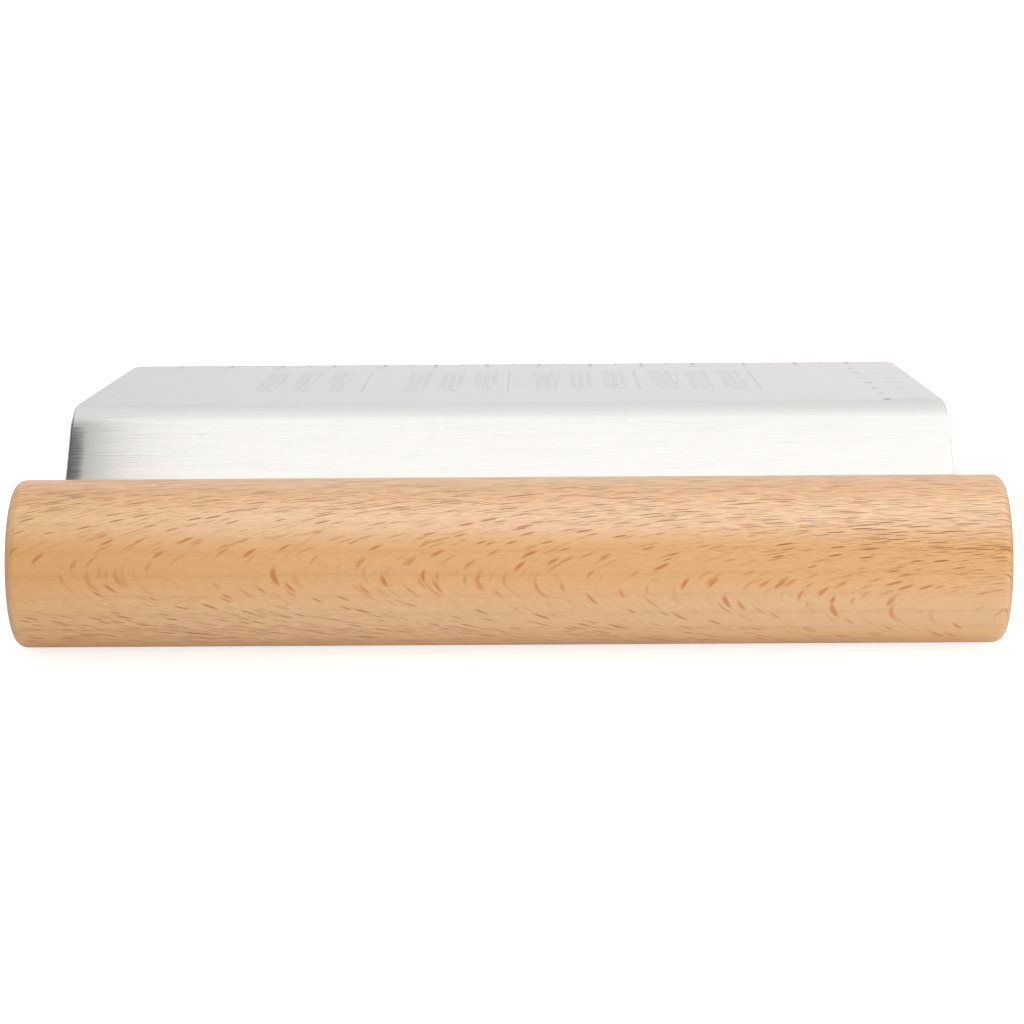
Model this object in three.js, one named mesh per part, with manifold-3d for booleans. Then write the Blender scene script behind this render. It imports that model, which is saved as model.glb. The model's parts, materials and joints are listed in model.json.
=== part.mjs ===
// Dough scraper: a cranked stainless-steel blade let into a slot along a round beech handle
// and held there by three hidden cross pins.
//
// Millimetres, +Z up. The tool lies on a bench, hollow side down, on its handle and on its
// scraping edge: X runs along the handle and +Y from the handle towards the edge.
// The origin is on the bench, under the middle of the tool's length and depth.

import * as THREE from "three";
import { mergeVertices } from "three/addons/utils/BufferGeometryUtils.js";
import Module from "manifold-3d";

const wasm = await Module();
wasm.setup();

// Driving dimensions: the beech handle
const HANDLE_DIAMETER = 27.5;
const HANDLE_LENGTH = 161.5;
const HANDLE_END_ROUNDING = 1.8;

// Driving dimensions: the steel blade, measured along its outer, convex face
const BLADE_WIDTH = 148.5;
const BLADE_THICKNESS = 1;
const PLATE_LENGTH = 82; // scraping edge to the corner that the bend rounds off
const NECK_LENGTH = 17.2; // that corner to the handle's surface
const BEND_ANGLE = THREE.MathUtils.degToRad(49);
const BEND_INNER_RADIUS = 7.5;
const EDGE_CORNER_RADIUS = 2;
const EDGE_LAND = 0.5; // steel left at the scraping edge, under the bevel
const EDGE_BEVEL_LENGTH = 2.5;
const TANG_DEPTH = 12; // how far the blade goes into the handle

// Driving dimensions: the cross pins, driven from the hidden underside of the handle
const PIN_DIAMETER = 3;
const PIN_CHAMFER = 0.4;
const PIN_COUNT = 3;
const PIN_INSET = 19.25; // outer pins in from the blade's sides
const PIN_DEPTH = 6.5; // pin axis below the handle's surface, along the tang
const PIN_BITE = 6; // how far the pin goes on into the wood beyond the tang
const PIN_RECESS = 0.4; // pin end below the handle's surface

// Clearances
const SLOT_CLEARANCE = 0.2; // bond gap on each side and at the bottom of the slot
const PIN_CLEARANCE = 0.15;
const PIN_END_CLEARANCE = 0.3;

// Facets
const HANDLE_SEGMENTS = 72;
const PIN_SEGMENTS = 24;
const ROUNDING_STEPS = 6;
const BEND_STEPS = 10;
const CUT_MARGIN = 1; // cutting tools reach this far past the surface that they open

// Derived sizes
const handleRadius = HANDLE_DIAMETER / 2;
const bendOuterRadius = BEND_INNER_RADIUS + BLADE_THICKNESS;
const halfThickness = BLADE_THICKNESS / 2;
const tangEnd = handleRadius - TANG_DEPTH;
const bendCorner = handleRadius + NECK_LENGTH;
const pinAxis = handleRadius - PIN_DEPTH;
const pinMouth = Math.sqrt(handleRadius ** 2 - pinAxis ** 2);
const pinSpacing = (BLADE_WIDTH - 2 * PIN_INSET) / (PIN_COUNT - 1);

// The solids are made in the tool's own frame: X along the handle's axis, +Y out of the handle
// along the blade's neck, +Z out of the neck's convex face. plateAlong and plateOut are the
// directions of the plate past the bend, in that frame's Y and Z.
const plateAlong = new THREE.Vector2(Math.cos(BEND_ANGLE), -Math.sin(BEND_ANGLE));
const plateOut = new THREE.Vector2(Math.sin(BEND_ANGLE), Math.cos(BEND_ANGLE));

// A point of the plate, by its distance from the bend's corner and its depth under the outer face.
function onPlate(distance, depth) {
  return new THREE.Vector2(bendCorner, halfThickness)
    .addScaledVector(plateAlong, distance)
    .addScaledVector(plateOut, -depth);
}

// A closed geometry as a solid that can be cut.
function toSolid(geometry) {
  const bare = new THREE.BufferGeometry();
  const loose = geometry.index ? geometry.toNonIndexed() : geometry;
  bare.setAttribute("position", loose.getAttribute("position"));
  const merged = mergeVertices(bare, 1e-4);
  return new wasm.Manifold(
    new wasm.Mesh({
      numProp: 3,
      vertProperties: new Float32Array(merged.getAttribute("position").array),
      triVerts: new Uint32Array(merged.index.array),
    }),
  );
}

// A solid as a geometry that can be drawn.
function toGeometry(solid) {
  const mesh = solid.getMesh();
  const geometry = new THREE.BufferGeometry();
  geometry.setAttribute("position", new THREE.BufferAttribute(mesh.vertProperties, 3));
  geometry.setIndex(new THREE.BufferAttribute(mesh.triVerts, 1));
  const flat = geometry.toNonIndexed();
  flat.computeVertexNormals();
  return flat;
}

// A round bar about X, from its end at start to its end at finish, both ends rounded by a quarter circle.
function roundedBar(radius, start, finish, rounding) {
  const profile = new THREE.Path();
  profile.moveTo(0, start);
  profile.lineTo(radius - rounding, start);
  profile.absarc(radius - rounding, start + rounding, rounding, -Math.PI / 2, 0, false);
  profile.lineTo(radius, finish - rounding);
  profile.absarc(radius - rounding, finish - rounding, rounding, 0, Math.PI / 2, false);
  profile.lineTo(0, finish);
  const bar = new THREE.LatheGeometry(profile.getPoints(ROUNDING_STEPS), HANDLE_SEGMENTS);
  return bar.rotateZ(-Math.PI / 2);
}

// A round pin along Z, with both ends chamfered.
function chamferedPin(radius, bottom, top, chamfer) {
  const profile = [
    new THREE.Vector2(0, bottom),
    new THREE.Vector2(radius - chamfer, bottom),
    new THREE.Vector2(radius, bottom + chamfer),
    new THREE.Vector2(radius, top - chamfer),
    new THREE.Vector2(radius - chamfer, top),
    new THREE.Vector2(0, top),
  ];
  return new THREE.LatheGeometry(profile, PIN_SEGMENTS).rotateX(Math.PI / 2);
}

// A plain round cutter along Z.
function roundCutter(radius, bottom, top) {
  const cutter = new THREE.CylinderGeometry(radius, radius, top - bottom, PIN_SEGMENTS);
  return cutter.rotateX(Math.PI / 2).translate(0, 0, (bottom + top) / 2);
}

// The pins' places along the handle, evenly spaced about the middle.
const pinPlaces = Array.from(
  { length: PIN_COUNT },
  (_, i) => (i - (PIN_COUNT - 1) / 2) * pinSpacing,
);

// The handle: a round bar with a stopped slot for the tang and a blind hole for each pin.
function handleGeometry() {
  let handle = toSolid(
    roundedBar(handleRadius, -HANDLE_LENGTH / 2, HANDLE_LENGTH / 2, HANDLE_END_ROUNDING),
  );
  const slotBottom = tangEnd - SLOT_CLEARANCE;
  const slotTop = handleRadius + CUT_MARGIN;
  const slot = new THREE.BoxGeometry(
    BLADE_WIDTH + 2 * SLOT_CLEARANCE,
    slotTop - slotBottom,
    BLADE_THICKNESS + 2 * SLOT_CLEARANCE,
  ).translate(0, (slotTop + slotBottom) / 2, 0);
  handle = handle.subtract(toSolid(slot));
  for (const x of pinPlaces) {
    const hole = roundCutter(
      PIN_DIAMETER / 2 + PIN_CLEARANCE,
      -pinMouth - CUT_MARGIN,
      halfThickness + PIN_BITE + PIN_END_CLEARANCE,
    ).translate(x, pinAxis, 0);
    handle = handle.subtract(toSolid(hole));
  }
  return toGeometry(handle);
}

// The sheet's section across the bend: tang, neck, bend and plate, with the bevel under the edge.
function bladeSection() {
  const outerTangent = bendOuterRadius * Math.tan(BEND_ANGLE / 2);
  const bendStart = bendCorner - outerTangent;
  const bendCentre = halfThickness - bendOuterRadius;
  const fromUp = Math.PI / 2;
  const section = new THREE.Shape();
  section.moveTo(tangEnd, -halfThickness);
  section.lineTo(bendStart, -halfThickness);
  section.absarc(bendStart, bendCentre, BEND_INNER_RADIUS, fromUp, fromUp - BEND_ANGLE, true);
  const bevelStart = onPlate(PLATE_LENGTH - EDGE_BEVEL_LENGTH, BLADE_THICKNESS);
  const landBottom = onPlate(PLATE_LENGTH, EDGE_LAND);
  const landTop = onPlate(PLATE_LENGTH, 0);
  section.lineTo(bevelStart.x, bevelStart.y);
  section.lineTo(landBottom.x, landBottom.y);
  section.lineTo(landTop.x, landTop.y);
  section.absarc(bendStart, bendCentre, bendOuterRadius, fromUp - BEND_ANGLE, fromUp, false);
  section.lineTo(tangEnd, halfThickness);
  section.closePath();
  return section;
}

// The plate's outline seen square on, with rounded corners at the scraping edge, as a prism that
// takes in the whole blade. The tang and the neck lie behind the bend's corner.
function outlinePrism() {
  const back = bendCorner - tangEnd + CUT_MARGIN;
  const reach = back + PLATE_LENGTH;
  const half = BLADE_WIDTH / 2;
  const straight = half - EDGE_CORNER_RADIUS;
  const cornerCentre = PLATE_LENGTH - EDGE_CORNER_RADIUS;
  const outline = new THREE.Shape();
  outline.moveTo(-half, -back);
  outline.lineTo(half, -back);
  outline.lineTo(half, cornerCentre);
  outline.absarc(straight, cornerCentre, EDGE_CORNER_RADIUS, 0, Math.PI / 2, false);
  outline.lineTo(-straight, PLATE_LENGTH);
  outline.absarc(-straight, cornerCentre, EDGE_CORNER_RADIUS, Math.PI / 2, Math.PI, false);
  outline.closePath();
  const prism = new THREE.ExtrudeGeometry(outline, {
    depth: 2 * reach,
    bevelEnabled: false,
    curveSegments: ROUNDING_STEPS,
  });
  return prism
    .translate(0, 0, -reach)
    .rotateX(-BEND_ANGLE)
    .translate(0, bendCorner, halfThickness);
}

// The blade: the section drawn out to the blade's width, its corners rounded and its pin holes drilled.
function bladeGeometry() {
  const strip = new THREE.ExtrudeGeometry(bladeSection(), {
    depth: BLADE_WIDTH + 2 * CUT_MARGIN,
    bevelEnabled: false,
    curveSegments: BEND_STEPS,
  });
  strip.translate(0, 0, -BLADE_WIDTH / 2 - CUT_MARGIN);
  // The section's first axis becomes Y, its second Z, and the way it is drawn out becomes X.
  strip.applyMatrix4(
    new THREE.Matrix4().makeBasis(
      new THREE.Vector3(0, 1, 0),
      new THREE.Vector3(0, 0, 1),
      new THREE.Vector3(1, 0, 0),
    ),
  );
  let blade = toSolid(strip).intersect(toSolid(outlinePrism()));
  for (const x of pinPlaces) {
    const hole = roundCutter(
      PIN_DIAMETER / 2 + PIN_CLEARANCE,
      -halfThickness - CUT_MARGIN,
      halfThickness + CUT_MARGIN,
    ).translate(x, pinAxis, 0);
    blade = blade.subtract(toSolid(hole));
  }
  return toGeometry(blade);
}

// One cross pin, at its place along the handle.
function pinGeometry(x) {
  const pin = chamferedPin(
    PIN_DIAMETER / 2,
    -pinMouth + PIN_RECESS,
    halfThickness + PIN_BITE,
    PIN_CHAMFER,
  );
  return toGeometry(toSolid(pin.translate(x, pinAxis, 0)));
}

// Finishes
const beech = new THREE.MeshStandardMaterial({ color: 0xdfae78, roughness: 0.55, metalness: 0 });
const brushedSteel = new THREE.MeshStandardMaterial({ color: 0xc9c9c7, roughness: 0.3, metalness: 1 });
const pinSteel = new THREE.MeshStandardMaterial({ color: 0xb4b5b6, roughness: 0.35, metalness: 1 });

function piece(name, geometry, material) {
  const mesh = new THREE.Mesh(geometry, material);
  mesh.name = name;
  return mesh;
}

// The lean at which both the handle and the scraping edge touch the bench.
const edgeBottom = onPlate(PLATE_LENGTH, EDGE_LAND);
const lean = Math.atan2(-edgeBottom.y, edgeBottom.x) - Math.asin(handleRadius / edgeBottom.length());

// The tool's furthest reach in Y from the handle's axis, at the top of the scraping edge.
const edgeTop = onPlate(PLATE_LENGTH, 0).rotateAround(new THREE.Vector2(), lean);
const depthMiddle = (edgeTop.x - handleRadius) / 2;

const tool = new THREE.Group();
tool.position.set(0, -depthMiddle, handleRadius);
tool.rotation.x = lean;
tool.add(piece("handle", handleGeometry(), beech));
tool.add(piece("blade", bladeGeometry(), brushedSteel));
pinPlaces.forEach((x, i) => {
  tool.add(piece(`cross_pin_${i + 1}`, pinGeometry(x), pinSteel));
});

const doughScraper = new THREE.Group();
doughScraper.add(tool);

export default doughScraper;
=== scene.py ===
# Looks of a dough scraper: a brushed stainless blade let into a turned beech handle.
# Sizes are written in millimetres and turned into metres by MM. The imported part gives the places.

import json
from math import atan2, copysign, cos, pi, radians, sin, sqrt, tan

import bmesh
import bpy
from mathutils import Matrix, Vector


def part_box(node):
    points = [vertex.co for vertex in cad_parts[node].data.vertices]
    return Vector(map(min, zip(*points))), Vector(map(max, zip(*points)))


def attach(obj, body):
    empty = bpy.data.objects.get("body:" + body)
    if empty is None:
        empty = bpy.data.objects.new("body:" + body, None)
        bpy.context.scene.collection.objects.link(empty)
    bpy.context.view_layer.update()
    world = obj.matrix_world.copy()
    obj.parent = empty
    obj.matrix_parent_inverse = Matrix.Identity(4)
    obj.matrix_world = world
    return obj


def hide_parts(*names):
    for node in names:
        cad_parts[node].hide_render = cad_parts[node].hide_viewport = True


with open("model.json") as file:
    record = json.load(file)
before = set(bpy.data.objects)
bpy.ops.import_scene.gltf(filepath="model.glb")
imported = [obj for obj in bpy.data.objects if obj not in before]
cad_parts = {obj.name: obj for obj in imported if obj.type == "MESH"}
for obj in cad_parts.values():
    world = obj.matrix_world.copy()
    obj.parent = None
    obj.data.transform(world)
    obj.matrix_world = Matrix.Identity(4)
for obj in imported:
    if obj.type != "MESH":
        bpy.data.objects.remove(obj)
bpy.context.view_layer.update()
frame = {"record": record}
mounts = {mount["name"]: mount for mount in frame["record"]["mounts"]}


# The handle
# A beech dowel, turned, rounded over at both ends, sanded and left bare. A saw kerf along its
# far side takes the blade's tang, and three blind holes on its underside take the pins.

MM = 0.001
HANDLE_DIAMETER = 27.5 * MM
HANDLE_LENGTH = 161.5 * MM
HANDLE_END_ROUNDING = 1.8 * MM
HANDLE_SIDES = 160
HANDLE_ROUNDING_STEPS = 8
KERF_CLEARANCE = 0.2 * MM
SANDED_ROUNDING = 0.15 * MM  # on the rims of the kerf and of the pin holes
SANDED_STEPS = 2
BLADE_WIDTH = 148.5 * MM
BLADE_THICKNESS = 1.0 * MM
BEND_ANGLE = radians(49)
TANG_DEPTH = 12.0 * MM
PIN_DIAMETER = 3.0 * MM
PIN_CLEARANCE = 0.15 * MM
PIN_END_CLEARANCE = 0.3 * MM
PIN_DEPTH = 6.5 * MM
PIN_INSET = 19.25 * MM
PIN_BITE = 6.0 * MM
PIN_SIDES = 40
CUT_MARGIN = 1.0 * MM  # cutters reach about this far past the surface that they open
SKIN_TOLERANCE = 0.02 * MM
SHARP_EDGE = radians(35)

handle_low, handle_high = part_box("handle")
handle_middle = (handle_low + handle_high) / 2
handle_radius = HANDLE_DIAMETER / 2

# The tool's own frame: X along the handle, Y out of it along the blade's neck, Z out of the neck's
# convex face. The plate's slope on the bench says how far the tool leans back.
plate_out = Vector(mounts["blade_face"]["axis"])
lean = BEND_ANGLE - atan2(plate_out.y, plate_out.z)
tool_place = Matrix.Translation(handle_middle) @ Matrix.Rotation(lean, 4, "X")

tang_end = handle_radius - TANG_DEPTH
pin_axis = handle_radius - PIN_DEPTH
pin_mouth = sqrt(handle_radius ** 2 - pin_axis ** 2)
pin_hole_radius = PIN_DIAMETER / 2 + PIN_CLEARANCE
pin_top = BLADE_THICKNESS / 2 + PIN_BITE
pin_places = [Vector(((BLADE_WIDTH / 2 - PIN_INSET) * side, pin_axis, 0)) for side in (-1, 0, 1)]


def linear(hex_colour):
    """An sRGB hex colour as linear red, green, blue and alpha."""
    srgb = [int(hex_colour[i:i + 2], 16) / 255 for i in (1, 3, 5)]
    return [c / 12.92 if c <= 0.04045 else ((c + 0.055) / 1.055) ** 2.4 for c in srgb] + [1.0]


def add_node(tree, kind, settings, inputs):
    """A new node. Each input is named or numbered, and takes a value or the socket that feeds it."""
    node = tree.nodes.new(kind)
    for name, value in settings.items():
        setattr(node, name, value)
    for socket, value in inputs.items():
        if isinstance(value, bpy.types.NodeSocket):
            tree.links.new(value, node.inputs[socket])
        else:
            node.inputs[socket].default_value = value
    return node


def new_material(name):
    """A material with the Principled shader: the material, its node tree and the shader."""
    material = bpy.data.materials.new(name)
    material.use_nodes = True
    return material, material.node_tree, material.node_tree.nodes["Principled BSDF"]


def round_bar(radius, low, high, sides):
    """A round bar along Z between two heights."""
    bar = bmesh.new()
    bmesh.ops.create_cone(
        bar, cap_ends=True, segments=sides, radius1=radius, radius2=radius, depth=high - low,
        matrix=Matrix.Translation((0, 0, (low + high) / 2)))
    return bar


def sharp_edges(bm):
    """The edges whose faces meet at more than a slight angle."""
    return [edge for edge in bm.edges if edge.calc_face_angle() > SHARP_EDGE]


def round_over(bm, edges, width, steps):
    """Rounds these edges off."""
    bmesh.ops.bevel(
        bm, geom=edges, offset=width, offset_type="OFFSET", segments=steps, profile=0.5,
        affect="EDGES", material=-1)


def cut_out(bm, cutter):
    """What is left of a closed shape when the cutter's shape is taken out of it."""
    stock, tool = [bpy.data.objects.new(name, bpy.data.meshes.new(name)) for name in ("stock", "cutter")]
    for thing, shape in ((stock, bm), (tool, cutter)):
        shape.to_mesh(thing.data)
        shape.free()
        bpy.context.scene.collection.objects.link(thing)
    cut = stock.modifiers.new("cut", "BOOLEAN")
    cut.operation = "DIFFERENCE"
    cut.solver = "EXACT"
    cut.object = tool
    left = bmesh.new()
    left.from_object(stock, bpy.context.evaluated_depsgraph_get())
    for thing in (stock, tool):
        bpy.data.meshes.remove(thing.data)
    return left


def new_piece(name, bm, material):
    """The bmesh as an object of the scene, smooth but for its sharp edges, with flats kept flat."""
    for edge in sharp_edges(bm):
        edge.smooth = False
    for face in bm.faces:
        face.smooth = True
    mesh = bpy.data.meshes.new(name)
    bm.to_mesh(mesh)
    bm.free()
    mesh.materials.append(material)
    piece = bpy.data.objects.new(name, mesh)
    bpy.context.scene.collection.objects.link(piece)
    flats = piece.modifiers.new("flats", "WEIGHTED_NORMAL")
    flats.keep_sharp = True
    return piece


# Beech, turned and sanded: a warm tan with short brown dashes where the rays come out end on, and
# soft crescents where they lie flat in the surface. Sizes are in millimetres along the grain,
# along the radius and round the rings.
WOOD_PLAIN = "#e7bb8c"
WOOD_WARM = "#e8b47a"
WOOD_PAINTED_HIGHLIGHT = "#ecc497"
WOOD_LATE = "#cf9963"
WOOD_FIBRE = "#b57535"
RAY_END_ON = "#8c5212"
RAY_FLAT = "#cb8243"
LEFT_SHADE_TINT = "#fcf6ea"
END_GRAIN_TINT = "#c99a66"
NOISE_SPAN = (0.3, 0.7)  # nearly all of a noise texture's values lie in this span
RAY_FACE_TILT = radians(16)  # the face where the rays lie flat looks this far above the horizon
GRAIN_TWIST = radians(0.25)  # turn of the rays per millimetre of handle, at its middle
GRAIN_TWIST_GROWTH = radians(0.0023)  # and how much that grows with each millimetre
GRAIN_SLOPE = radians(7.0)  # grain running out of the ray face
WAVER_LENGTH = 16  # the grain wavers over this length
WAVER = (0.0, 0.6, 0.3)  # and by this much
# Each kind of ray: the cell that holds one, its reach and chance in that cell, and its strength
# end on and lying flat.
RAYS = (
    ((3.6, 6.0, 0.12), 0.55, 0.55, 0.75, 0.0),
    ((4.4, 7.0, 0.16), 0.55, 0.45, 1.0, 0.6),
    ((4.0, 5.0, 0.28), 0.46, 0.78, 0.25, 1.0),
)
RAY_STAGGER = 0.382  # each layer of cells begins this much of a cell further along than the last
SMALLEST_RAY = 0.55  # share of a kind's full reach
STRONG_RAYS = 0.4  # share of the rays that show at their kind's full strength
RAY_FADE = (0.7, 0.35)  # share of its reach from which a ray fades, end on and lying flat
RAY_TURN = 0.4  # from this much of the way to lying flat, a ray has its flat strength
FLAT_RAYS = (9.0, 13.3)  # distances round the rings at which rays begin to lie flat, and do
FIBRE_CELL = (4.0, 0.17, 0.17)  # coarser than real fibres, so that they show
FIBRE_SPAN = (0.4, 0.75)  # values of the fibres' noise at which they begin to darken, and are darkest
FIBRE_DEPTH = (0.55, 0.3)  # how much they darken, on the other faces and on the ray face
TONE_CELL = (60.0, 4.0, 4.0)  # streaks in which the wood is warmer or less warm
TONE_DRIFT = 0.25  # and how much of the way to the warm colour
PITH_DISTANCE = 46.7  # from the middle of the tree to the middle of the bar
RING_WIDTH = 3.4
LATE_FROM = 0.75  # the last quarter of a ring is late wood
LATE_DEPTH = 0.3  # and darkens by this much at the ring's end
RING_FRAYING = 1.6  # how far the fibres draw a ring's edge out
# Radii at which a ring's tone begins, is full, stops being full and ends: a warm ring, and a pale band
# that is a painted highlight where the overhead light's sheen falls on the handle.
WARM_RING = (43.8, 50.0, 54.3, 56.8)
HIGHLIGHT_BAND = (56.4, 57.8, 59.0, 60.6)
WARM_CORE = (41.5, 36.5)  # towards the pith the wood is warm again
LEFT_END_SHADE = (-78.0, -42.0)  # painted shade: the bar is darker and more orange towards its left end, where less light and sheen reach it, less and less over this length
END_GRAIN_SPAN = (0.5, 0.98)  # how squarely a surface faces along the bar, from no end grain to all
END_GRAIN_DEPTH = 0.6
PORE_DEPTH = 0.03 * MM


def ray_flecks(tree, grain, lying_flat, cell, reach, shown):
    """Medullary rays as lenses, at most one to a cell, each with its own size and strength."""
    cells = add_node(tree, "ShaderNodeMapping", {"vector_type": "TEXTURE"}, {
        "Vector": grain, "Scale": cell})
    cell_place = add_node(tree, "ShaderNodeSeparateXYZ", {}, {"Vector": cells.outputs["Vector"]})
    stagger = add_node(tree, "ShaderNodeMath", {"operation": "MULTIPLY_ADD"}, {
        0: cell_place.outputs["Z"], 1: RAY_STAGGER, 2: cell_place.outputs["X"]})
    staggered = add_node(tree, "ShaderNodeCombineXYZ", {}, {
        "X": stagger.outputs["Value"], "Y": cell_place.outputs["Y"], "Z": cell_place.outputs["Z"]})
    rays = add_node(tree, "ShaderNodeTexVoronoi", {}, {
        "Vector": staggered.outputs["Vector"], "Scale": 1.0})
    chance = add_node(tree, "ShaderNodeSeparateColor", {}, {"Color": rays.outputs["Color"]})
    lens_reach = add_node(tree, "ShaderNodeMapRange", {}, {
        "Value": chance.outputs["Green"], "To Min": SMALLEST_RAY * reach, "To Max": reach})
    out_from_middle = add_node(tree, "ShaderNodeMath", {"operation": "DIVIDE"}, {
        0: rays.outputs["Distance"], 1: lens_reach.outputs["Result"]})
    soft_from = add_node(tree, "ShaderNodeMapRange", {}, {
        "Value": lying_flat, "To Min": RAY_FADE[0], "To Max": RAY_FADE[1]})
    lens = add_node(tree, "ShaderNodeMapRange", {"interpolation_type": "SMOOTHSTEP"}, {
        "Value": out_from_middle.outputs["Value"], "From Min": soft_from.outputs["Result"],
        "From Max": 1.0, "To Min": 1.0, "To Max": 0.0})
    strength = add_node(tree, "ShaderNodeMapRange", {}, {
        "Value": chance.outputs["Red"], "From Min": 1 - shown, "From Max": 1 - STRONG_RAYS * shown})
    flecks = add_node(tree, "ShaderNodeMath", {"operation": "MULTIPLY"}, {
        0: lens.outputs["Result"], 1: strength.outputs["Result"]})
    return flecks.outputs["Value"]


def beech():
    """Beech with its rays, fibres, rings and end grain, slightly glossy from fine sanding."""
    material, tree, shader = new_material("beech_turned_and_sanded")
    place = add_node(tree, "ShaderNodeTexCoord", {}, {})
    # Millimetres from the handle's middle, turned so that the rays lie flat on the +Z side.
    faced = add_node(tree, "ShaderNodeMapping", {"vector_type": "TEXTURE"}, {
        "Vector": place.outputs["Object"], "Location": handle_middle,
        "Rotation": (pi / 2 - RAY_FACE_TILT, 0, 0), "Scale": (MM, MM, MM)})
    waver = add_node(tree, "ShaderNodeTexNoise", {}, {
        "Vector": faced.outputs["Vector"], "Scale": 1 / WAVER_LENGTH, "Detail": 1.0})
    along = add_node(tree, "ShaderNodeSeparateXYZ", {}, {"Vector": faced.outputs["Vector"]})
    twist_rate = add_node(tree, "ShaderNodeMath", {"operation": "MULTIPLY_ADD"}, {
        0: along.outputs["X"], 1: -GRAIN_TWIST_GROWTH, 2: -GRAIN_TWIST})
    twist = add_node(tree, "ShaderNodeMath", {"operation": "MULTIPLY"}, {
        0: along.outputs["X"], 1: twist_rate.outputs["Value"]})
    straight = add_node(tree, "ShaderNodeVectorRotate", {"rotation_type": "X_AXIS"}, {
        "Vector": faced.outputs["Vector"], "Angle": twist.outputs["Value"]})
    sloped = add_node(tree, "ShaderNodeVectorRotate", {"rotation_type": "Y_AXIS"}, {
        "Vector": straight.outputs["Vector"], "Angle": -GRAIN_SLOPE})
    wavy = add_node(tree, "ShaderNodeVectorMath", {"operation": "MULTIPLY_ADD"}, {
        0: waver.outputs["Color"], 1: WAVER, 2: sloped.outputs["Vector"]})
    grain = wavy.outputs["Vector"]

    fibre_cells = add_node(tree, "ShaderNodeMapping", {"vector_type": "TEXTURE"}, {
        "Vector": grain, "Scale": FIBRE_CELL})
    fibres = add_node(tree, "ShaderNodeTexNoise", {}, {
        "Vector": fibre_cells.outputs["Vector"], "Scale": 1.0, "Detail": 2.0, "Roughness": 0.6})

    # Growth rings: some are warmer than the rest, and each ends in a faint line of late wood. A pale band
    # among them is a painted highlight, where the overhead light's sheen falls.
    wavy_rings = add_node(tree, "ShaderNodeVectorMath", {"operation": "MULTIPLY_ADD"}, {
        0: waver.outputs["Color"], 1: WAVER, 2: faced.outputs["Vector"]})
    from_pith = add_node(tree, "ShaderNodeVectorMath", {"operation": "MULTIPLY_ADD"}, {
        0: wavy_rings.outputs["Vector"], 1: (0.0, 1.0, 1.0), 2: (0.0, PITH_DISTANCE, 0.0)})
    even_radius = add_node(tree, "ShaderNodeVectorMath", {"operation": "LENGTH"}, {
        0: from_pith.outputs["Vector"]})
    ring_radius = add_node(tree, "ShaderNodeMath", {"operation": "MULTIPLY_ADD"}, {
        0: fibres.outputs["Fac"], 1: RING_FRAYING, 2: even_radius.outputs["Value"]})
    tinted_rings = []
    for begins, full, stops, ends in (WARM_RING, HIGHLIGHT_BAND):
        rising = add_node(tree, "ShaderNodeMapRange", {"interpolation_type": "SMOOTHSTEP"}, {
            "Value": ring_radius.outputs["Value"], "From Min": begins, "From Max": full})
        falling = add_node(tree, "ShaderNodeMapRange", {"interpolation_type": "SMOOTHSTEP"}, {
            "Value": ring_radius.outputs["Value"], "From Min": stops, "From Max": ends,
            "To Min": 1.0, "To Max": 0.0})
        tinted_rings.append(add_node(tree, "ShaderNodeMath", {"operation": "MULTIPLY"}, {
            0: rising.outputs["Result"], 1: falling.outputs["Result"]}))
    warm, pale = tinted_rings
    warm_core = add_node(tree, "ShaderNodeMapRange", {}, {
        "Value": ring_radius.outputs["Value"], "From Min": WARM_CORE[0], "From Max": WARM_CORE[1]})
    tone_cells = add_node(tree, "ShaderNodeMapping", {"vector_type": "TEXTURE"}, {
        "Vector": grain, "Scale": TONE_CELL})
    tones = add_node(tree, "ShaderNodeTexNoise", {}, {
        "Vector": tone_cells.outputs["Vector"], "Scale": 1.0, "Detail": 2.0})
    tone = add_node(tree, "ShaderNodeMapRange", {}, {
        "Value": tones.outputs["Fac"], "From Min": NOISE_SPAN[0], "From Max": NOISE_SPAN[1],
        "To Min": -TONE_DRIFT, "To Max": TONE_DRIFT})
    warm_wood = add_node(tree, "ShaderNodeMath", {"operation": "MAXIMUM"}, {
        0: warm.outputs["Value"], 1: warm_core.outputs["Result"]})
    warmth = add_node(tree, "ShaderNodeMath", {"operation": "ADD", "use_clamp": True}, {
        0: warm_wood.outputs["Value"], 1: tone.outputs["Result"]})
    wood = add_node(tree, "ShaderNodeMix", {"data_type": "RGBA"}, {
        0: warmth.outputs["Value"], 6: linear(WOOD_PLAIN), 7: linear(WOOD_WARM)})
    # The pale band mixed in here is a painted highlight.
    highlighted_wood = add_node(tree, "ShaderNodeMix", {"data_type": "RGBA"}, {
        0: pale.outputs["Value"], 6: wood.outputs[2], 7: linear(WOOD_PAINTED_HIGHLIGHT)})
    ring_count = add_node(tree, "ShaderNodeMath", {"operation": "DIVIDE"}, {
        0: ring_radius.outputs["Value"], 1: RING_WIDTH})
    ring_part = add_node(tree, "ShaderNodeMath", {"operation": "FRACT"}, {
        0: ring_count.outputs["Value"]})
    late = add_node(tree, "ShaderNodeMapRange", {}, {
        "Value": ring_part.outputs["Value"], "From Min": LATE_FROM, "To Max": LATE_DEPTH})
    late_wood = add_node(tree, "ShaderNodeMix", {"data_type": "RGBA"}, {
        0: late.outputs["Result"], 6: highlighted_wood.outputs[2], 7: linear(WOOD_LATE)})
    # Painted shade: the left end is multiplied darker and more orange, standing in for the light and sheen
    # that fall off there.
    left_shade_amount = add_node(tree, "ShaderNodeMapRange", {}, {
        "Value": along.outputs["X"], "From Min": LEFT_END_SHADE[0], "From Max": LEFT_END_SHADE[1],
        "To Min": 1.0, "To Max": 0.0})
    left_shaded_wood = add_node(tree, "ShaderNodeMix", {"data_type": "RGBA", "blend_type": "MULTIPLY"}, {
        0: left_shade_amount.outputs["Result"], 6: late_wood.outputs[2], 7: linear(LEFT_SHADE_TINT)})

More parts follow.
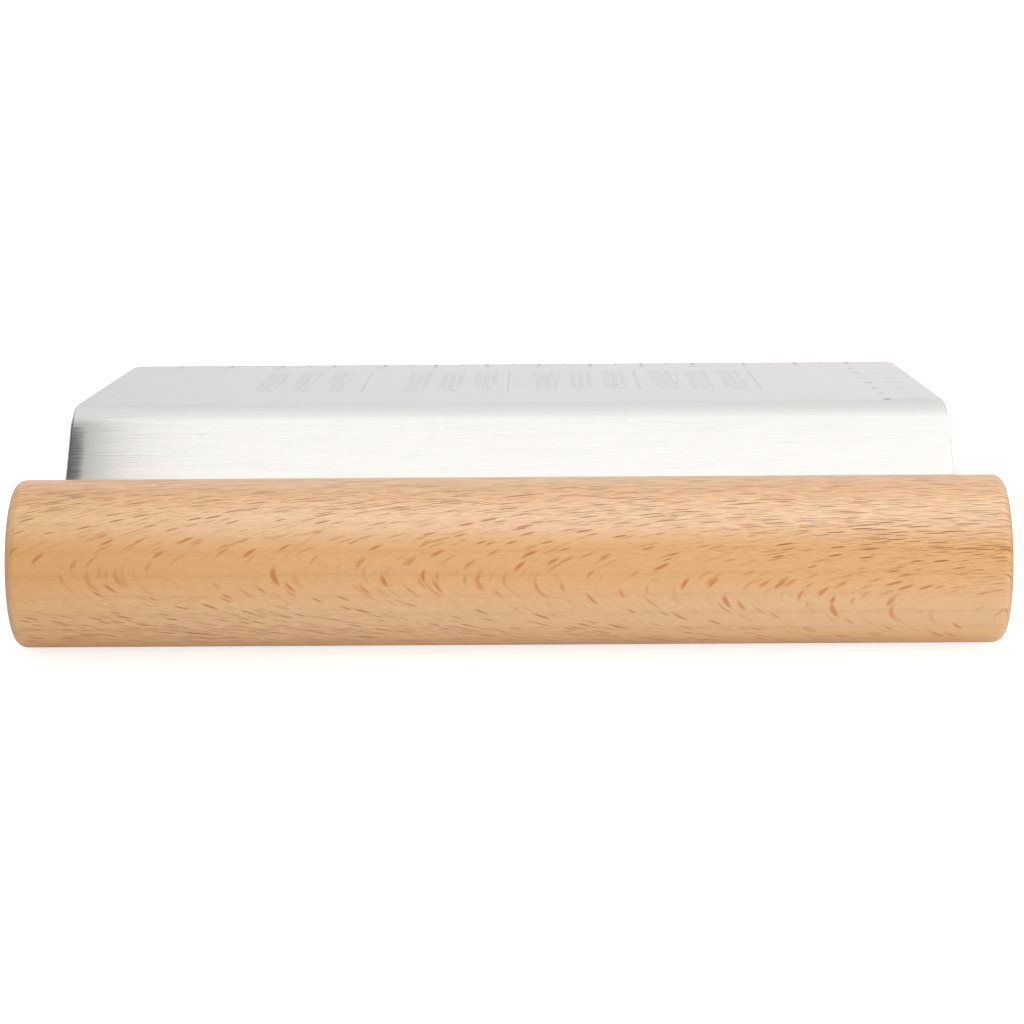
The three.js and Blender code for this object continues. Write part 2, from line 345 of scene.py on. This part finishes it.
    # Fibres and pores: fine streaks along the grain, fainter where the rays lie flat.
    round_rings = add_node(tree, "ShaderNodeSeparateXYZ", {}, {"Vector": straight.outputs["Vector"]})
    off_middle = add_node(tree, "ShaderNodeMath", {"operation": "ABSOLUTE"}, {0: round_rings.outputs["Z"]})
    lying_flat = add_node(tree, "ShaderNodeMapRange", {}, {
        "Value": off_middle.outputs["Value"], "From Min": FLAT_RAYS[0], "From Max": FLAT_RAYS[1]})
    fibre_depth = add_node(tree, "ShaderNodeMapRange", {}, {
        "Value": lying_flat.outputs["Result"], "To Min": FIBRE_DEPTH[0], "To Max": FIBRE_DEPTH[1]})
    fibre_dark = add_node(tree, "ShaderNodeMapRange", {}, {
        "Value": fibres.outputs["Fac"], "From Min": FIBRE_SPAN[0], "From Max": FIBRE_SPAN[1],
        "To Max": fibre_depth.outputs["Result"]})
    fibred = add_node(tree, "ShaderNodeMix", {"data_type": "RGBA"}, {
        0: fibre_dark.outputs["Result"], 6: left_shaded_wood.outputs[2], 7: linear(WOOD_FIBRE)})

    # Rays: dark brown end on, paler and more orange where they lie flat.
    rays = 0.0
    for cell, reach, shown, end_on, flat in RAYS:
        flecks = ray_flecks(tree, grain, lying_flat.outputs["Result"], cell, reach, shown)
        strength = add_node(tree, "ShaderNodeMapRange", {}, {
            "Value": lying_flat.outputs["Result"], "From Max": RAY_TURN, "To Min": end_on, "To Max": flat})
        weighed = add_node(tree, "ShaderNodeMath", {"operation": "MULTIPLY"}, {
            0: flecks, 1: strength.outputs["Result"]})
        rays = add_node(tree, "ShaderNodeMath", {"operation": "MAXIMUM"}, {
            0: rays, 1: weighed.outputs["Value"]}).outputs["Value"]
    ray_colour = add_node(tree, "ShaderNodeMix", {"data_type": "RGBA"}, {
        0: lying_flat.outputs["Result"], 6: linear(RAY_END_ON), 7: linear(RAY_FLAT)})
    with_rays = add_node(tree, "ShaderNodeMix", {"data_type": "RGBA"}, {
        0: rays, 6: fibred.outputs[2], 7: ray_colour.outputs[2]})

    # End grain drinks in the light and looks darker.
    facing = add_node(tree, "ShaderNodeSeparateXYZ", {}, {"Vector": place.outputs["Normal"]})
    end_facing = add_node(tree, "ShaderNodeMath", {"operation": "ABSOLUTE"}, {0: facing.outputs["X"]})
    end_dark = add_node(tree, "ShaderNodeMapRange", {}, {
        "Value": end_facing.outputs["Value"], "From Min": END_GRAIN_SPAN[0],
        "From Max": END_GRAIN_SPAN[1], "To Max": END_GRAIN_DEPTH})
    with_ends = add_node(tree, "ShaderNodeMix", {"data_type": "RGBA", "blend_type": "MULTIPLY"}, {
        0: end_dark.outputs["Result"], 6: with_rays.outputs[2], 7: linear(END_GRAIN_TINT)})
    tree.links.new(with_ends.outputs[2], shader.inputs["Base Color"])

    relief = add_node(tree, "ShaderNodeMath", {"operation": "ADD"}, {
        0: fibres.outputs["Fac"], 1: rays})
    bump = add_node(tree, "ShaderNodeBump", {"invert": True}, {
        "Height": relief.outputs["Value"], "Strength": 0.25, "Distance": PORE_DEPTH})
    tree.links.new(bump.outputs["Normal"], shader.inputs["Normal"])
    shader.inputs["Roughness"].default_value = 0.36
    shader.inputs["IOR"].default_value = 1.5
    shader.inputs["Specular IOR Level"].default_value = 0.9
    return material


handle_mesh = round_bar(handle_radius, -HANDLE_LENGTH / 2, HANDLE_LENGTH / 2, HANDLE_SIDES)
bmesh.ops.transform(handle_mesh, matrix=Matrix.Rotation(pi / 2, 4, "Y"), verts=handle_mesh.verts)
round_over(handle_mesh, sharp_edges(handle_mesh), HANDLE_END_ROUNDING, HANDLE_ROUNDING_STEPS)

kerf_floor = tang_end - KERF_CLEARANCE
kerf_reach = handle_radius + CUT_MARGIN - kerf_floor
kerf = bmesh.new()
bmesh.ops.create_cube(
    kerf, size=1.0, matrix=Matrix.Translation((0, kerf_floor + kerf_reach / 2, 0)) @ Matrix.Diagonal(
        (BLADE_WIDTH + 2 * KERF_CLEARANCE, kerf_reach, BLADE_THICKNESS + 2 * KERF_CLEARANCE, 1)))
handle_mesh = cut_out(handle_mesh, kerf)
# The skin slopes away across a pin hole's mouth, so its drill starts two margins out.
for pin_place in pin_places:
    drill = round_bar(
        pin_hole_radius, -pin_mouth - 2 * CUT_MARGIN, pin_top + PIN_END_CLEARANCE, PIN_SIDES)
    bmesh.ops.translate(drill, vec=pin_place, verts=drill.verts)
    handle_mesh = cut_out(handle_mesh, drill)
mouths = [edge for edge in sharp_edges(handle_mesh)
          if all(vert.co.yz.length > handle_radius - SKIN_TOLERANCE for vert in edge.verts)]
round_over(handle_mesh, mouths, SANDED_ROUNDING, SANDED_STEPS)
bmesh.ops.transform(handle_mesh, matrix=tool_place, verts=handle_mesh.verts)

handle = new_piece("beech_handle", handle_mesh, beech())
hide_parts("handle")
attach(handle, "root")


# The blade
# One stainless sheet, sheared, bent across its width and brushed along it. The tang sits in the
# handle's kerf, and the far edge is ground from below to a thin land.

PLATE_LENGTH = 82.0 * MM
NECK_LENGTH = 17.2 * MM
BEND_INNER_RADIUS = 7.5 * MM
BEND_STEPS = 22
EASE_ANGLE = radians(5.5)  # the last of the bend runs out into the plate on a wide radius
EASE_RADIUS = 50.0 * MM
EASE_STEPS = 8
BEND_DRAW_IN = 0.15 * MM  # bending draws the outer face in at the sides
EDGE_CORNER_RADIUS = 2.0 * MM
EDGE_CORNER_STEPS = 8
EDGE_LAND = 0.5 * MM
EDGE_BEVEL_LENGTH = 2.5 * MM
SIDE_ROLL = 3.0 * MM  # the sides roll off this wide from shearing and polishing
SIDE_ROLL_DROP = 0.064 * MM
SIDE_ROLL_FADE = (4.0 * MM, 9.0 * MM)  # no roll this near the bend's corner, and all of it from here on
SIDE_ROLL_STEPS = 6
MERGE_DISTANCE = 0.001 * MM
OUTER_RIM_ROUNDING = 0.3 * MM
OUTER_RIM_STEPS = 4
INNER_RIM_ROUNDING = 0.12 * MM
INNER_RIM_STEPS = 2
BRUSH_LINE = (20 * MM, 0.14 * MM, 0.14 * MM)  # coarser than the real scratches, so that they show
BRUSH_ROUGHNESS = (0.12, 0.33)
STEEL_DARK = "#cac9c7"
STEEL_PALE = "#cfcecc"

bend_outer_radius = BEND_INNER_RADIUS + BLADE_THICKNESS
bend_corner = Vector((0, handle_radius + NECK_LENGTH, BLADE_THICKNESS / 2))
bend_tangent = bend_outer_radius * tan(BEND_ANGLE / 2)
ease_back = (EASE_RADIUS - bend_outer_radius) * (1 - cos(EASE_ANGLE)) / sin(BEND_ANGLE)
bend_start = bend_corner.y - bend_tangent - ease_back
plate_turn = Matrix.Rotation(-BEND_ANGLE, 4, "X")
plate_along = plate_turn @ Vector((0, 1, 0))
plate_up = plate_turn @ Vector((0, 0, 1))


def brushed_stainless():
    """Stainless brushed along its width: fine lines, and highlights drawn out across them."""
    material, tree, shader = new_material("stainless_brushed")
    place = add_node(tree, "ShaderNodeTexCoord", {}, {})
    lines = add_node(tree, "ShaderNodeMapping", {"vector_type": "TEXTURE"}, {
        "Vector": place.outputs["Object"], "Scale": BRUSH_LINE})
    brush = add_node(tree, "ShaderNodeTexNoise", {}, {
        "Vector": lines.outputs["Vector"], "Scale": 1.0, "Detail": 3.0, "Roughness": 0.7})
    gloss = add_node(tree, "ShaderNodeMapRange", {}, {
        "Value": brush.outputs["Fac"], "From Min": NOISE_SPAN[0], "From Max": NOISE_SPAN[1],
        "To Min": BRUSH_ROUGHNESS[0], "To Max": BRUSH_ROUGHNESS[1]})
    tone = add_node(tree, "ShaderNodeMapRange", {}, {
        "Value": brush.outputs["Fac"], "From Min": NOISE_SPAN[0], "From Max": NOISE_SPAN[1]})
    colour = add_node(tree, "ShaderNodeMix", {"data_type": "RGBA"}, {
        0: tone.outputs["Result"], 6: linear(STEEL_DARK), 7: linear(STEEL_PALE)})
    across = add_node(tree, "ShaderNodeTangent", {"direction_type": "UV_MAP", "uv_map": "brush"}, {})
    tree.links.new(across.outputs["Tangent"], shader.inputs["Tangent"])
    tree.links.new(colour.outputs[2], shader.inputs["Base Color"])
    tree.links.new(gloss.outputs["Result"], shader.inputs["Roughness"])
    shader.inputs["Metallic"].default_value = 1.0
    shader.inputs["Anisotropic"].default_value = 0.97
    return material


def draw_out(bm, edges, along):
    """The sheet drawn out from these edges; gives the new far edges."""
    drawn = bmesh.ops.extrude_edge_only(bm, edges=edges)["geom"]
    verts = [part for part in drawn if isinstance(part, bmesh.types.BMVert)]
    bmesh.ops.translate(bm, verts=verts, vec=along)
    return [part for part in drawn if isinstance(part, bmesh.types.BMEdge)
            and all(vert in verts for vert in part.verts)]


def split_along(bm, place, across):
    """Splits every face that a plane crosses; gives the new edges."""
    split = bmesh.ops.bisect_plane(
        bm, geom=bm.verts[:] + bm.edges[:] + bm.faces[:], plane_co=place, plane_no=across,
        dist=MERGE_DISTANCE)
    return [part for part in split["geom_cut"] if isinstance(part, bmesh.types.BMEdge)]


def into_side(vert):
    """How far a vertex lies into the roll at the sheet's side, from 0 to 1."""
    return max(0, 1 - (BLADE_WIDTH / 2 - abs(vert.co.x)) / SIDE_ROLL)


# The outer face is drawn first, from the tang's end over the bend to the scraping edge.
blade_mesh = bmesh.new()
tang_ends = [
    blade_mesh.verts.new((side * BLADE_WIDTH / 2, tang_end, BLADE_THICKNESS / 2)) for side in (-1, 1)]
front = [blade_mesh.edges.new(tang_ends)]
roll_full = bend_corner.y - SIDE_ROLL_FADE[1]
front = draw_out(blade_mesh, front, Vector((0, roll_full - tang_end, 0)))
front = draw_out(blade_mesh, front, Vector((0, bend_start - roll_full, 0)))
bend_axis = Vector((0, bend_start, BLADE_THICKNESS / 2 - bend_outer_radius))
ease_out = Matrix.Rotation(EASE_ANGLE - BEND_ANGLE, 4, "X") @ Vector((0, 0, 1))
ease_axis = bend_axis + ease_out * (bend_outer_radius - EASE_RADIUS)
for axis, angle, steps in (
        (bend_axis, BEND_ANGLE - EASE_ANGLE, BEND_STEPS), (ease_axis, EASE_ANGLE, EASE_STEPS)):
    spun = bmesh.ops.spin(
        blade_mesh, geom=front, cent=axis, axis=(1, 0, 0), angle=-angle, steps=steps, use_merge=False)
    front = [part for part in spun["geom_last"] if isinstance(part, bmesh.types.BMEdge)]
eased_to = (front[0].verts[0].co - bend_corner).dot(plate_along)
front = draw_out(blade_mesh, front, plate_along * (PLATE_LENGTH - eased_to))
corners = [vert for edge in front for vert in edge.verts]
bmesh.ops.bevel(
    blade_mesh, geom=corners, offset=EDGE_CORNER_RADIUS, offset_type="OFFSET", segments=EDGE_CORNER_STEPS,
    profile=0.5, affect="VERTICES", material=-1)
bmesh.ops.recalc_face_normals(blade_mesh, faces=blade_mesh.faces)

# The sides roll off a little.
for step in range(1, SIDE_ROLL_STEPS + 1):
    for side in (-1, 1):
        from_middle = BLADE_WIDTH / 2 - SIDE_ROLL * step / SIDE_ROLL_STEPS
        split_along(blade_mesh, (side * from_middle, 0, 0), (1, 0, 0))
blade_mesh.normal_update()
for vert in blade_mesh.verts:
    from_bend = (vert.co - bend_corner).yz.length
    kept = (from_bend - SIDE_ROLL_FADE[0]) / (SIDE_ROLL_FADE[1] - SIDE_ROLL_FADE[0])
    vert.co -= vert.normal * SIDE_ROLL_DROP * into_side(vert) ** 2 * min(1, max(0, kept))

outer_verts = set(blade_mesh.verts)
bmesh.ops.solidify(blade_mesh, geom=blade_mesh.faces[:], thickness=BLADE_THICKNESS)
bmesh.ops.recalc_face_normals(blade_mesh, faces=blade_mesh.faces)

# The bend's sides: the outer face drawn in.
for vert in blade_mesh.verts:
    from_axis = vert.co - bend_axis
    turned = atan2(from_axis.y, from_axis.z) / BEND_ANGLE
    if 0 < turned < 1:
        height = 1 - (bend_outer_radius - from_axis.yz.length) / BLADE_THICKNESS
        drawn_in = BEND_DRAW_IN * height * (into_side(vert) * sin(pi * turned)) ** 2
        vert.co.x -= copysign(drawn_in, vert.co.x)

# The grind under the scraping edge.
grind_start = PLATE_LENGTH - EDGE_BEVEL_LENGTH
for edge in split_along(blade_mesh, bend_corner + plate_along * grind_start, plate_along):
    edge.smooth = False
for vert in blade_mesh.verts:
    from_corner = vert.co - bend_corner
    past_start = from_corner.dot(plate_along) - grind_start
    if past_start > 0 and from_corner.dot(plate_up) < -BLADE_THICKNESS / 2:
        vert.co += plate_up * (BLADE_THICKNESS - EDGE_LAND) * past_start / EDGE_BEVEL_LENGTH

outer_rim = [edge for edge in sharp_edges(blade_mesh) if outer_verts.issuperset(edge.verts)]
round_over(blade_mesh, outer_rim, OUTER_RIM_ROUNDING, OUTER_RIM_STEPS)
round_over(blade_mesh, sharp_edges(blade_mesh), INNER_RIM_ROUNDING, INNER_RIM_STEPS)
for pin_place in pin_places:
    drill = round_bar(pin_hole_radius, -CUT_MARGIN, CUT_MARGIN, PIN_SIDES)
    bmesh.ops.translate(drill, vec=pin_place, verts=drill.verts)
    blade_mesh = cut_out(blade_mesh, drill)
brush_map = blade_mesh.loops.layers.uv.new("brush")
for face in blade_mesh.faces:
    for loop in face.loops:
        loop[brush_map].uv = (loop.vert.co.y, loop.vert.co.x)
bmesh.ops.transform(blade_mesh, matrix=tool_place, verts=blade_mesh.verts)

blade = new_piece("stainless_blade", blade_mesh, brushed_stainless())
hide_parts("blade")
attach(blade, "root")


# The pins
# Three lengths of drawn steel wire with chamfered ends, driven through the tang from the handle's
# underside and left a little below its surface.

PIN_CHAMFER = 0.4 * MM
PIN_CHAMFER_STEPS = 3
PIN_RECESS = 0.4 * MM
DRAW_LINE = (0.1 * MM, 0.1 * MM, 5.0 * MM)
WIRE_ROUGHNESS = (0.28, 0.45)
WIRE_DARK = "#b1b1b3"
WIRE_PALE = "#c4c4c6"


def drawn_steel():
    """Bright drawn wire: satin, with faint lines along its length."""
    material, tree, shader = new_material("steel_drawn_wire")
    place = add_node(tree, "ShaderNodeTexCoord", {}, {})
    lines = add_node(tree, "ShaderNodeMapping", {"vector_type": "TEXTURE"}, {
        "Vector": place.outputs["Object"], "Rotation": (lean, 0, 0), "Scale": DRAW_LINE})
    drawn = add_node(tree, "ShaderNodeTexNoise", {}, {
        "Vector": lines.outputs["Vector"], "Scale": 1.0, "Detail": 2.0})
    gloss = add_node(tree, "ShaderNodeMapRange", {}, {
        "Value": drawn.outputs["Fac"], "From Min": NOISE_SPAN[0], "From Max": NOISE_SPAN[1],
        "To Min": WIRE_ROUGHNESS[0], "To Max": WIRE_ROUGHNESS[1]})
    colour = add_node(tree, "ShaderNodeMix", {"data_type": "RGBA"}, {
        0: drawn.outputs["Fac"], 6: linear(WIRE_DARK), 7: linear(WIRE_PALE)})
    tree.links.new(colour.outputs[2], shader.inputs["Base Color"])
    tree.links.new(gloss.outputs["Result"], shader.inputs["Roughness"])
    shader.inputs["Metallic"].default_value = 1.0
    return material


wire = drawn_steel()
for number, pin_place in enumerate(pin_places, start=1):
    pin_mesh = round_bar(PIN_DIAMETER / 2, PIN_RECESS - pin_mouth, pin_top, PIN_SIDES)
    round_over(pin_mesh, sharp_edges(pin_mesh), PIN_CHAMFER, PIN_CHAMFER_STEPS)
    bmesh.ops.transform(
        pin_mesh, matrix=tool_place @ Matrix.Translation(pin_place), verts=pin_mesh.verts)
    pin = new_piece(f"drawn_pin_{number}", pin_mesh, wire)
    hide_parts(f"cross_pin_{number}")
    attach(pin, "root")


# The marks
# A centimetre scale along the scraping edge, one up the side and a ruled table of plain numbers,
# burnt into the plate's outer face by a laser: dull, grey and too shallow to feel.

MARK_RELIEF = 0.008 * MM  # a mark stands this much proud, so that it shows from low down too
MARK_STROKE = 0.36 * MM
MARK_GRAIN = 0.4 * MM  # the burn is uneven at about this size
MARK_ROUGHNESS = (0.32, 0.45)
SCALE_STEP = 10.0 * MM
SCALE_COUNT = 14
SCALE_END = PLATE_LENGTH - OUTER_RIM_ROUNDING
SCALE_STROKE = 0.6 * MM
SCALE_TICK = 5.0 * MM
SCALE_HALF_TICK = 3.0 * MM
NUMBER_HEIGHT = 3.0 * MM
NUMBER_GAP = 2.4 * MM
TABLE_NUMBER_HEIGHT = 3.0 * MM
SIDE_SCALE = BLADE_WIDTH / 2 - SIDE_ROLL  # from the blade's middle to the side scale's base
SIDE_TICK = 4.0 * MM
SIDE_COUNT = 8  # the side scale's numbers run from 2 to this
TABLE_TOP = 26.0 * MM  # from the bend's corner
TABLE_BOTTOM = 65.0 * MM
TABLE_RULES = (-26.7, -0.55, 23.05, 44.75)  # millimetres from the blade's middle
TABLE_BLOCKS = (-37.8, -10.9, 12.8, 34.6)  # the middle of each block of numbers, likewise
BLOCK_COLUMNS = (20, 25, 50)  # each column counts up by this
BLOCK_PITCH = 6.2 * MM
TABLE_ROWS = 9

plate_place = tool_place @ Matrix.Translation(bend_corner) @ plate_turn


def laser_mark(name, dark, pale):
    """Laser-burnt oxide on stainless: a dull grey, slightly uneven."""
    material, tree, shader = new_material(name)
    place = add_node(tree, "ShaderNodeTexCoord", {}, {})
    burn = add_node(tree, "ShaderNodeTexNoise", {}, {
        "Vector": place.outputs["Object"], "Scale": 1 / MARK_GRAIN, "Detail": 2.0})
    colour = add_node(tree, "ShaderNodeMix", {"data_type": "RGBA"}, {
        0: burn.outputs["Fac"], 6: linear(dark), 7: linear(pale)})
    gloss = add_node(tree, "ShaderNodeMapRange", {}, {
        "Value": burn.outputs["Fac"], "To Min": MARK_ROUGHNESS[0], "To Max": MARK_ROUGHNESS[1]})
    tree.links.new(colour.outputs[2], shader.inputs["Base Color"])
    tree.links.new(gloss.outputs["Result"], shader.inputs["Roughness"])
    shader.inputs["Metallic"].default_value = 1.0
    return material


def mark_line(bm, x, y, width, length):
    """A straight mark on the plate, from a place across and along it."""
    bmesh.ops.create_cube(
        bm, size=1.0, matrix=plate_place @ Matrix.Translation((x, y + length / 2, 0))
        @ Matrix.Diagonal((width, length, 2 * MARK_RELIEF, 1)))


def mark_number(bm, number, x, y, height):
    """A plain number about a place on the plate, read with the scraping edge at the bottom."""
    text = bpy.data.curves.new("number", "FONT")
    text.body = str(number)
    text.size = height
    text.align_x = "CENTER"
    text.align_y = "CENTER"
    text.resolution_u = 2
    text.extrude = MARK_RELIEF
    mesh = bpy.data.meshes.new_from_object(bpy.data.objects.new("number", text))
    mesh.transform(plate_place @ Matrix.Translation((x, y, 0)) @ Matrix.Rotation(pi, 4, "Z"))
    bm.from_mesh(mesh)
    bpy.data.meshes.remove(mesh)
    bpy.data.curves.remove(text)


ticks = bmesh.new()
marks = bmesh.new()
for step in range(SCALE_COUNT):
    x = SCALE_STEP * ((SCALE_COUNT - 1) / 2 - step)
    mark_line(ticks, x, SCALE_END - SCALE_TICK, SCALE_STROKE, SCALE_TICK)
    mark_number(marks, step + 1, x, SCALE_END - SCALE_TICK - NUMBER_GAP, NUMBER_HEIGHT)
    mark_line(ticks, x - SCALE_STEP / 2, SCALE_END - SCALE_HALF_TICK, MARK_STROKE, SCALE_HALF_TICK)
for step in range(1, SIDE_COUNT):
    y = PLATE_LENGTH - SCALE_STEP * (step + 0.5)
    mark_line(marks, SIDE_SCALE - SIDE_TICK / 2, y - MARK_STROKE / 2, SIDE_TICK, MARK_STROKE)
    mark_number(ticks, step + 1, SIDE_SCALE - SIDE_TICK - NUMBER_GAP, y, NUMBER_HEIGHT)
for rule in TABLE_RULES:
    mark_line(marks, rule * MM, TABLE_TOP, MARK_STROKE, TABLE_BOTTOM - TABLE_TOP)
row_height = (TABLE_BOTTOM - TABLE_TOP) / TABLE_ROWS
for row in range(TABLE_ROWS):
    y = TABLE_TOP + row_height * (row + 0.5)
    for block, middle in enumerate(TABLE_BLOCKS, start=1):
        for column, unit in enumerate(BLOCK_COLUMNS, start=-1):
            number = unit * block * (row + 1)
            mark_number(marks, number, middle * MM - column * BLOCK_PITCH, y, TABLE_NUMBER_HEIGHT)

for name, mark_mesh, finish in (
        ("scales", ticks, laser_mark("stainless_marked_deep", "#a6a4a0", "#b1afab")),
        ("numbers_and_table", marks, laser_mark("stainless_marked", "#bab9b6", "#c7c5c2"))):
    bmesh.ops.remove_doubles(mark_mesh, verts=mark_mesh.verts, dist=MERGE_DISTANCE)
    bmesh.ops.recalc_face_normals(mark_mesh, faces=mark_mesh.faces)
    mark = new_piece(name, mark_mesh, finish)
    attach(mark, "root")


# The bench and the light
# A white bench under a wide overhead softbox with a tube in it that both stop short on the left, in
# a white room, with a small fill panel at the right of the camera. Places here are in metres.

SOFTBOX_LOW = Vector((-0.1805, -0.45, 0.75))
SOFTBOX_HIGH = Vector((0.70, 0.34, 0.75))
STRIP_LOW = Vector((-0.1805, -0.25, 0.745))
STRIP_HIGH = Vector((0.50, -0.07, 0.745))
SOFTBOX_WATTS = 2.67
STRIP_WATTS = 0.6
SOFTBOX_COLOUR = (1.0, 0.982, 0.96)
FILL_PLACE = Vector((0.38, -0.5, 0.28))
FILL_SIZE = (0.4, 0.3)
FILL_WATTS = 1.15
BENCH_REACH = 0.5
BENCH_SEEN = 0.68  # what the bench adds to its lit colour for the camera, so that it is white there
BENCH_MIRRORED = 0.15  # and what it adds where steel mirrors it

floor_material, floor_tree, floor_shader = new_material("white_bench")
floor_shader.inputs["Base Color"].default_value = linear("#f1f1f1")
floor_shader.inputs["Roughness"].default_value = 1.0
floor_shader.inputs["Specular IOR Level"].default_value = 0.0
floor_shader.inputs["Emission Color"].default_value = (1, 1, 1, 1)
floor_ray = add_node(floor_tree, "ShaderNodeLightPath", {}, {})
floor_mirrored = add_node(floor_tree, "ShaderNodeMath", {"operation": "MULTIPLY"}, {
    0: floor_ray.outputs["Is Glossy Ray"], 1: BENCH_MIRRORED})
floor_lift = add_node(floor_tree, "ShaderNodeMath", {"operation": "MULTIPLY_ADD"}, {
    0: floor_ray.outputs["Is Camera Ray"], 1: BENCH_SEEN, 2: floor_mirrored.outputs["Value"]})
floor_tree.links.new(floor_lift.outputs["Value"], floor_shader.inputs["Emission Strength"])
floor_mesh = bmesh.new()
bmesh.ops.create_grid(floor_mesh, x_segments=1, y_segments=1, size=BENCH_REACH)
floor = bpy.data.objects.new("bench", bpy.data.meshes.new("bench"))
floor_mesh.to_mesh(floor.data)
floor_mesh.free()
floor.data.materials.append(floor_material)
bpy.context.scene.collection.objects.link(floor)


def area_lamp(name, size, watts, place):
    """A rectangular lamp that faces down and isn't seen itself."""
    lamp = bpy.data.lights.new(name, "AREA")
    lamp.shape = "RECTANGLE"
    lamp.size, lamp.size_y = size
    lamp.energy = watts
    lamp_object = bpy.data.objects.new(name, lamp)
    lamp_object.location = place
    lamp_object.visible_camera = False
    bpy.context.scene.collection.objects.link(lamp_object)
    return lamp_object


for name, low, high, watts in (
        ("softbox", SOFTBOX_LOW, SOFTBOX_HIGH, SOFTBOX_WATTS),
        ("softbox_tube", STRIP_LOW, STRIP_HIGH, STRIP_WATTS)):
    overhead = area_lamp(name, (high - low).xy, watts, (low + high) / 2)
    overhead.data.color = SOFTBOX_COLOUR
fill = area_lamp("fill", FILL_SIZE, FILL_WATTS, FILL_PLACE)
fill.rotation_euler = (-FILL_PLACE).to_track_quat("-Z", "Y").to_euler()
fill.visible_glossy = False

# The room is white to the camera and pale behind the bench. Above the bench, beyond the softbox, and
# behind the camera it is dark. On the left the dark roof comes lower and the dark front is darker.
# A way into the room is a direction of length 1, and each pair is a span of its X, Y or Z, or the
# values at that span's two ends.
WALL_SPAN = (0.1, 0.85)
WALL_LEVELS = (1.1, 1.36)
FRONT_SPAN = (-0.2, 0.0)
FRONT_LEVELS = (0.05, 0.4)
BEHIND_SPAN = (-0.4, 0.1)
ROOF_SPAN = (-0.21, -0.15)
ROOF_EDGES = (0.35, 0.87)
ROOF_FULL = 0.985
ROOF_LEVEL = 0.12
ROOM_LEVEL = 0.5  # what the room adds to the lamps on anything that doesn't mirror it

world = bpy.data.worlds.new("white_room")
world.use_nodes = True
world_tree = world.node_tree
sky = world_tree.nodes["Background"]
room_way = add_node(world_tree, "ShaderNodeTexCoord", {}, {})
room_axes = add_node(world_tree, "ShaderNodeSeparateXYZ", {}, {"Vector": room_way.outputs["Generated"]})
wall = add_node(world_tree, "ShaderNodeMapRange", {}, {
    "Value": room_axes.outputs["Z"], "From Min": WALL_SPAN[0], "From Max": WALL_SPAN[1],
    "To Min": WALL_LEVELS[0], "To Max": WALL_LEVELS[1]})
room_front = add_node(world_tree, "ShaderNodeMapRange", {}, {
    "Value": room_axes.outputs["X"], "From Min": FRONT_SPAN[0], "From Max": FRONT_SPAN[1],
    "To Min": FRONT_LEVELS[0], "To Max": FRONT_LEVELS[1]})
behind = add_node(world_tree, "ShaderNodeMapRange", {"interpolation_type": "SMOOTHSTEP"}, {
    "Value": room_axes.outputs["Y"], "From Min": BEHIND_SPAN[0], "From Max": BEHIND_SPAN[1],
    "To Min": room_front.outputs["Result"], "To Max": wall.outputs["Result"]})
roof_edge = add_node(world_tree, "ShaderNodeMapRange", {}, {
    "Value": room_axes.outputs["X"], "From Min": ROOF_SPAN[0], "From Max": ROOF_SPAN[1],
    "To Min": ROOF_EDGES[0], "To Max": ROOF_EDGES[1]})
below_roof = add_node(world_tree, "ShaderNodeMapRange", {"interpolation_type": "SMOOTHSTEP"}, {
    "Value": room_axes.outputs["Z"], "From Min": roof_edge.outputs["Result"], "From Max": ROOF_FULL,
    "To Min": 1.0, "To Max": ROOF_LEVEL})
mirrored = add_node(world_tree, "ShaderNodeMath", {"operation": "MULTIPLY"}, {
    0: behind.outputs["Result"], 1: below_roof.outputs["Result"]})
room_ray = add_node(world_tree, "ShaderNodeLightPath", {}, {})
room_lit = add_node(world_tree, "ShaderNodeMapRange", {}, {
    "Value": room_ray.outputs["Is Glossy Ray"], "To Min": ROOM_LEVEL, "To Max": mirrored.outputs["Value"]})
room_seen = add_node(world_tree, "ShaderNodeMapRange", {}, {
    "Value": room_ray.outputs["Is Camera Ray"], "To Min": room_lit.outputs["Result"], "To Max": 1.0})
world_tree.links.new(room_seen.outputs["Result"], sky.inputs["Strength"])
sky.inputs["Color"].default_value = (1, 1, 1, 1)
world.cycles.sampling_method = "NONE"
bpy.context.scene.world = world


# The camera
# It stands at the handle's side of the bench, looking down on the tool through a long lens.

FRAME_PIXELS = 1024
FOCAL_PIXELS = 3000
CAMERA_PLACE = Vector((5.3, -475.3, 252.5)) * MM
CAMERA_PITCH = radians(28.09)
CAMERA_YAW = radians(-0.63)
CAMERA_ROLL = radians(0.64)

camera = bpy.data.cameras.new("camera")
camera.lens = camera.sensor_width * FOCAL_PIXELS / FRAME_PIXELS
camera_object = bpy.data.objects.new("camera", camera)
camera_object.matrix_world = (
    Matrix.Translation(CAMERA_PLACE)
    @ Matrix.Rotation(-CAMERA_YAW, 4, "Z")
    @ Matrix.Rotation(pi / 2 - CAMERA_PITCH, 4, "X")
    @ Matrix.Rotation(-CAMERA_ROLL, 4, "Z"))
bpy.context.scene.collection.objects.link(camera_object)
bpy.context.scene.camera = camera_object

bpy.context.scene.view_settings.view_transform = "Standard"
